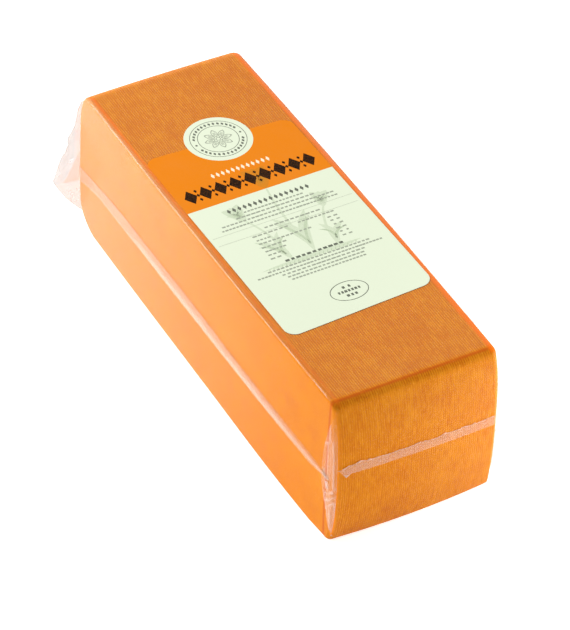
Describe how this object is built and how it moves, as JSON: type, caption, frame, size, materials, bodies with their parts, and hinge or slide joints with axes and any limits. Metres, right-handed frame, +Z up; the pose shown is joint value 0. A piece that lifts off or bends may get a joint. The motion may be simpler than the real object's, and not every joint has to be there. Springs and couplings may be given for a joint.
{
  "type": "vacuum-packed mimolette block",
  "caption": "Long rectangular block of orange cheese sealed in clear shrunk film, with a paper label on its top.",
  "frame": {"origin": "middle of the flat base", "axes": "+Y along the block, towards the end with the loose film ears; +Z up, through the label; +X across"},
  "size_m": [0.1382, 0.3163, 0.0987],
  "materials": {
    "cheese": "orange cheese with a cloth texture under tight glossy film",
    "film": "clear glossy film, whitish where it is folded",
    "label": "smooth printed paper"
  },
  "bodies": {
    "root": {"cheese_block": "cheese", "film_seam": "film", "film_ear_left": "film", "film_ear_right": "film", "label": "label"}
  },
  "joints": []
}
